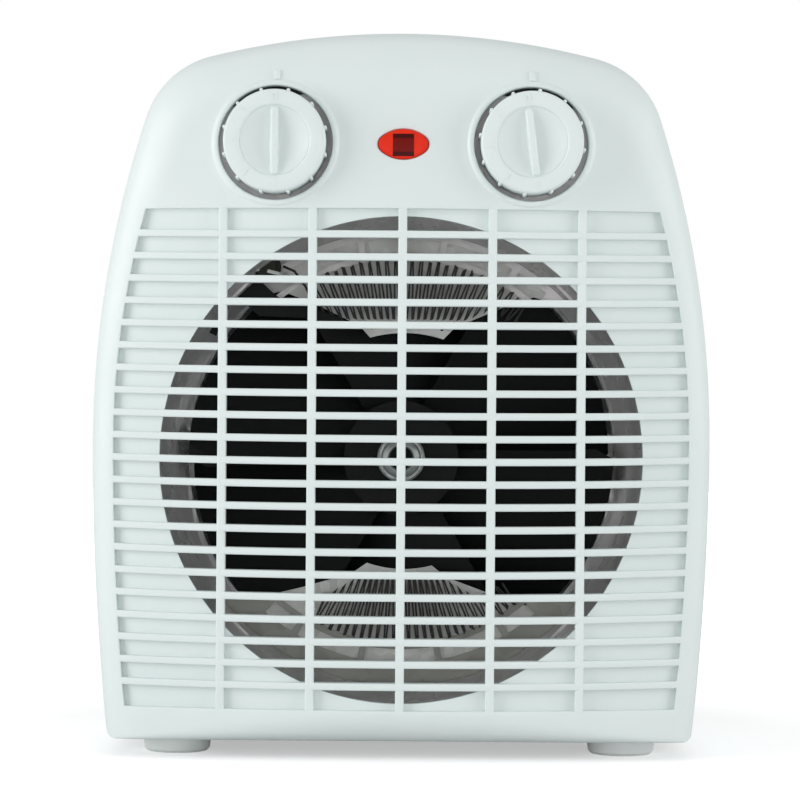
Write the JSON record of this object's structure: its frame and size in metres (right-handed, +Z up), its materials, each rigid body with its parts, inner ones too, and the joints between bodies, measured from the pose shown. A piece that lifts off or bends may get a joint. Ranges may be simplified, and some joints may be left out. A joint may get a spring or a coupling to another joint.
{
  "type": "fan heater",
  "caption": "Upright electric fan heater: bowed slatted front over a round outlet with zigzag wire element, axial fan, motor, two rotary controls, pilot light and deep vented rear shell.",
  "frame": {"origin": "middle of the whole heater's footprint, on the floor under its feet", "axes": "+Z up, the slatted front faces -Y, +X to the right of someone looking at the front"},
  "size_m": [0.2226, 0.124, 0.2605],
  "materials": {
    "white_shell": "fine satin moulding, very light cool white",
    "rubber_foot": "matt pale grey",
    "steel_screw": "bright zinc plate",
    "galvanised": "galvanised sheet, soft blurred reflections",
    "mica": "pale grey mica board",
    "element_wire": "dark oxidised resistance wire",
    "black_plastic": "black heat-resistant plastic",
    "laminations": "stacked sheet edges",
    "coil_tape": "taped winding",
    "bronze": "sintered bronze",
    "phenolic": "dark moulded phenolic",
    "red_lens": "clear red plastic",
    "lamp_glass": "neon lamp glass",
    "ivory_plastic": "ivory polyamide"
  },
  "bodies": {
    "housing": {"front_housing": "white_shell", "rear_housing": "white_shell", "feet": "rubber_foot", "housing_screws": "steel_screw", "duct": "galvanised", "duct_screws": "steel_screw", "upper_element_frame": "galvanised", "lower_element_frame": "galvanised", "frame_rivets": "steel_screw", "upper_mica_plate": "mica", "lower_mica_plate": "mica", "mica_rivets": "steel_screw", "upper_heating_wire": "element_wire", "lower_heating_wire": "element_wire", "thermal_cutoff": "phenolic", "cutoff_bracket": "black_plastic", "stator": "laminations", "motor_coil": "coil_tape", "front_bearing_bracket": "galvanised", "rear_bearing_bracket": "galvanised", "front_bearing": "bronze", "rear_bearing": "bronze", "motor_strap": "galvanised", "motor_bolts": "steel_screw", "strap_screws": "steel_screw", "rotary_switch": "phenolic", "thermostat": "phenolic", "control_screws": "steel_screw", "control_plate": "galvanised", "plate_screws": "steel_screw", "pilot_lens": "red_lens", "neon_lamp": "lamp_glass", "terminal_block": "ivory_plastic", "terminal_screws": "steel_screw", "cord_bushing": "black_plastic"},
    "fan_wheel": {"fan": "black_plastic", "fan_cap": "steel_screw", "motor_shaft": "steel_screw", "rotor": "laminations"},
    "switch_control": {"switch_knob": "white_shell", "switch_spindle": "steel_screw"},
    "thermostat_control": {"thermostat_knob": "white_shell", "thermostat_spindle": "steel_screw"}
  },
  "joints": [
    {"name": "fan_spin", "type": "hinge", "parent": "housing", "child": "fan_wheel", "pos_m": [0, 0, 0.107], "axis": [0, 1, 0], "continuous": true},
    {"name": "switch_turn", "type": "hinge", "parent": "housing", "child": "switch_control", "pos_m": [-0.0454, -0.05, 0.2193], "axis": [0, 1, 0], "range_deg": [0, 180]},
    {"name": "thermostat_turn", "type": "hinge", "parent": "housing", "child": "thermostat_control", "pos_m": [0.0454, -0.05, 0.2193], "axis": [0, 1, 0], "range_deg": [0, 250]}
  ]
}
